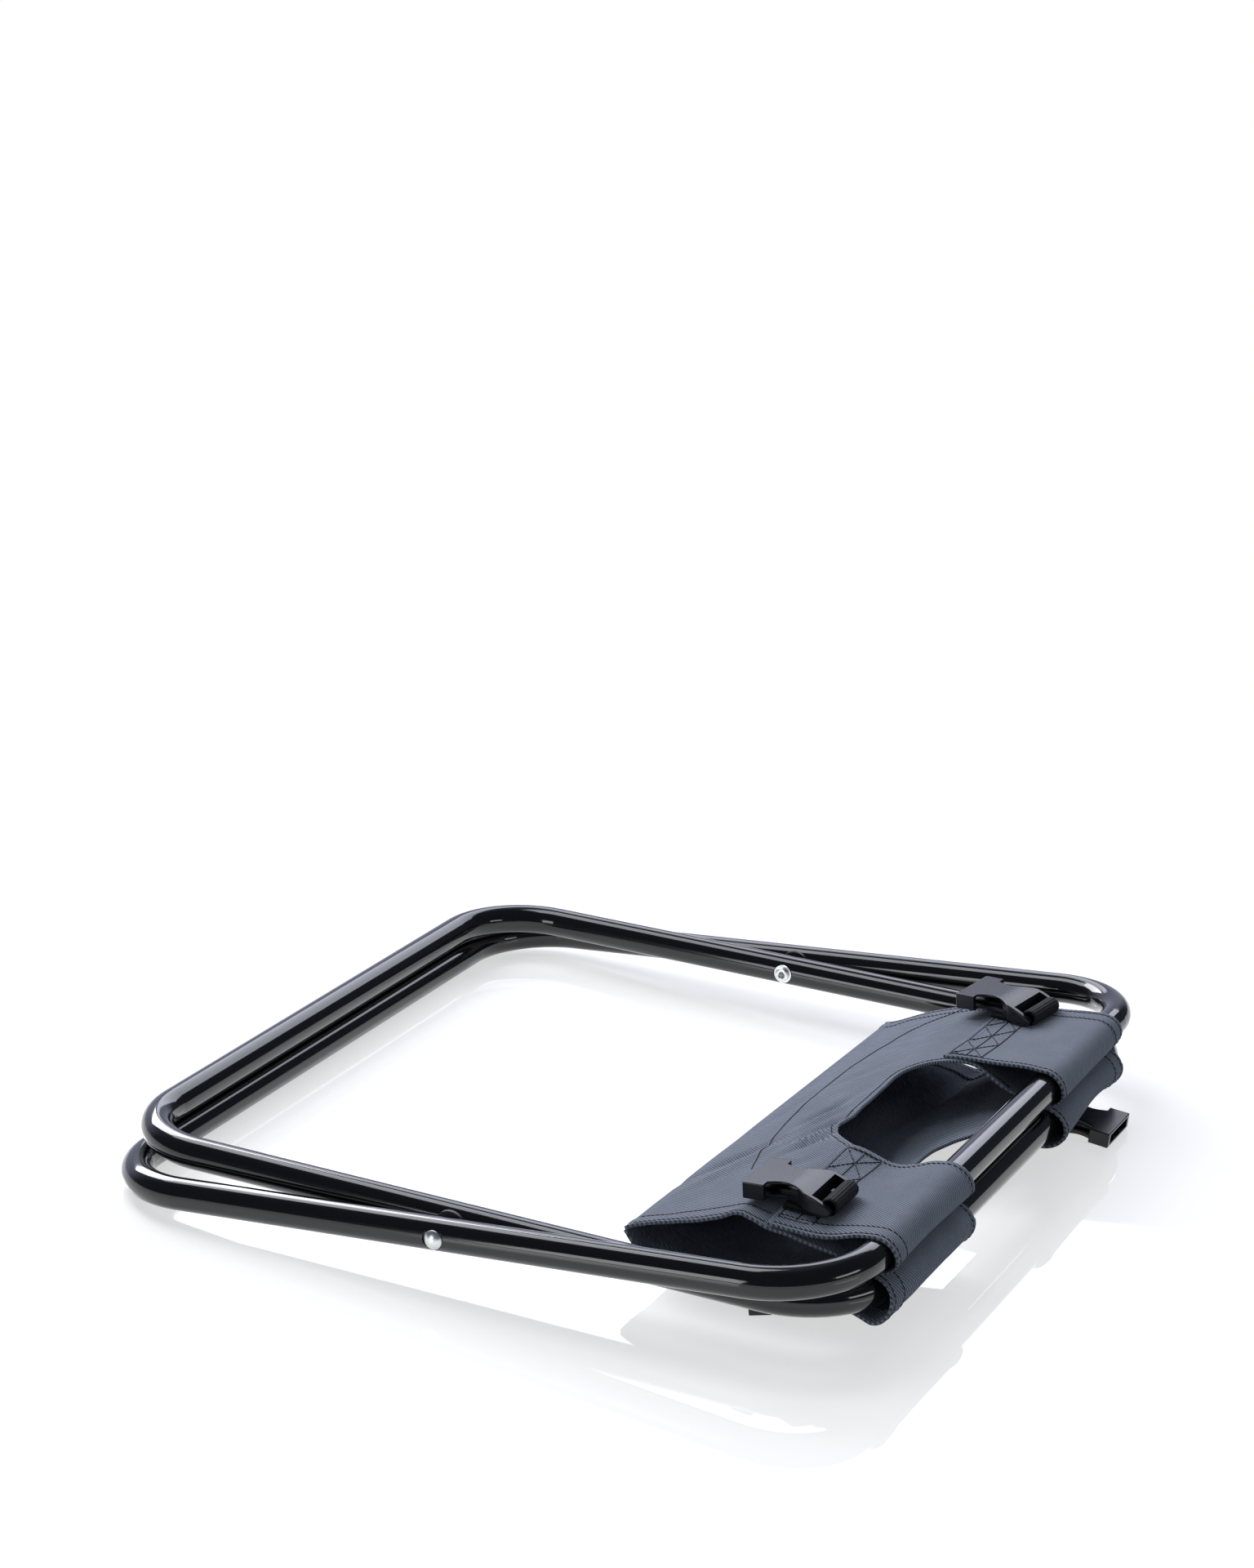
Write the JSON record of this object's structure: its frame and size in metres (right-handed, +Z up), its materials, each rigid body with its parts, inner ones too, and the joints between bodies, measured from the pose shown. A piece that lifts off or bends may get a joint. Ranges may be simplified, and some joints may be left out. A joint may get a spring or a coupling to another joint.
{
  "type": "folding luggage rack",
  "caption": "Folding luggage rack, folded flat: two tube frames riveted like scissors, cloth seat wrapped round the head rails, with webbing-held strap buckles and a hand grip.",
  "frame": {"origin": "on the floor under the middle of the folded rack", "axes": "+X from the foot rails to the head rails, +Y from the near side to the far side along the rails, +Z up"},
  "size_m": [0.4933, 0.5184, 0.0712],
  "materials": {
    "powder_coated_steel": "black gloss powder coat",
    "spacer_plastic": "black moulded nylon",
    "zinc_plated_steel": "bright zinc plate",
    "seat_cloth": "slate blue-grey heavy twill",
    "webbing": "black woven polyester webbing",
    "buckle_plastic": "black moulded acetal, fine satin"
  },
  "bodies": {
    "inner_frame": {"inner_tube": "powder_coated_steel", "spacer_near": "spacer_plastic", "spacer_far": "spacer_plastic", "washer_near": "zinc_plated_steel", "washer_far": "zinc_plated_steel"},
    "outer_frame": {"outer_tube": "powder_coated_steel", "rivet_near": "zinc_plated_steel", "rivet_far": "zinc_plated_steel"},
    "seat_upper": {"panel_upper": "seat_cloth", "sleeve_upper_near": "seat_cloth", "sleeve_upper_far": "seat_cloth", "webbing_upper_near": "webbing", "webbing_upper_far": "webbing"},
    "seat_lower": {"panel_lower": "seat_cloth", "sleeve_lower_near": "seat_cloth", "sleeve_lower_far": "seat_cloth", "webbing_lower_near": "webbing", "webbing_lower_far": "webbing"},
    "buckle_upper_near": {"buckle_upper_near": "buckle_plastic"},
    "buckle_upper_far": {"buckle_upper_far": "buckle_plastic"},
    "buckle_lower_near": {"buckle_lower_near": "buckle_plastic"},
    "buckle_lower_far": {"buckle_lower_far": "buckle_plastic"}
  },
  "joints": [
    {"name": "fold", "type": "hinge", "parent": "inner_frame", "child": "outer_frame", "pos_m": [-0.01417, 0, 0.03009], "axis": [0, -1, 0], "range_deg": [0, 72], "deforming": ["panel_upper", "panel_lower"]},
    {"name": "upper_seat_turn", "type": "hinge", "parent": "outer_frame", "child": "seat_upper", "pos_m": [0.21883, 0, 0.05169], "axis": [0, -1, 0], "range_deg": [0, 40.4]},
    {"name": "lower_seat_turn", "type": "hinge", "parent": "inner_frame", "child": "seat_lower", "pos_m": [0.21983, 0, 0.03009], "axis": [0, 1, 0], "range_deg": [0, 44.6]},
    {"name": "upper_near_buckle_swing", "type": "hinge", "parent": "seat_upper", "child": "buckle_upper_near", "pos_m": [0.18265, -0.16, 0.06289], "axis": [0, 1, 0], "range_deg": [0, 145]},
    {"name": "upper_far_buckle_swing", "type": "hinge", "parent": "seat_upper", "child": "buckle_upper_far", "pos_m": [0.18265, 0.16, 0.06289], "axis": [0.1558, 0.9877, 0.0144], "range_deg": [0, 145]},
    {"name": "lower_near_buckle_swing", "type": "hinge", "parent": "seat_lower", "child": "buckle_lower_near", "pos_m": [0.18683, -0.163, 0.01558], "axis": [0.342, -0.9397, 0], "range_deg": [0, 139]},
    {"name": "lower_far_buckle_swing", "type": "hinge", "parent": "seat_lower", "child": "buckle_lower_far", "pos_m": [0.19783, 0.14, 0.0038], "axis": [0, -1, 0], "range_deg": [-170, 12]}
  ],
  "couplings": [
    {"joint": "upper_seat_turn", "follows": "fold", "ratio": 0.56},
    {"joint": "lower_seat_turn", "follows": "fold", "ratio": 0.6187}
  ]
}
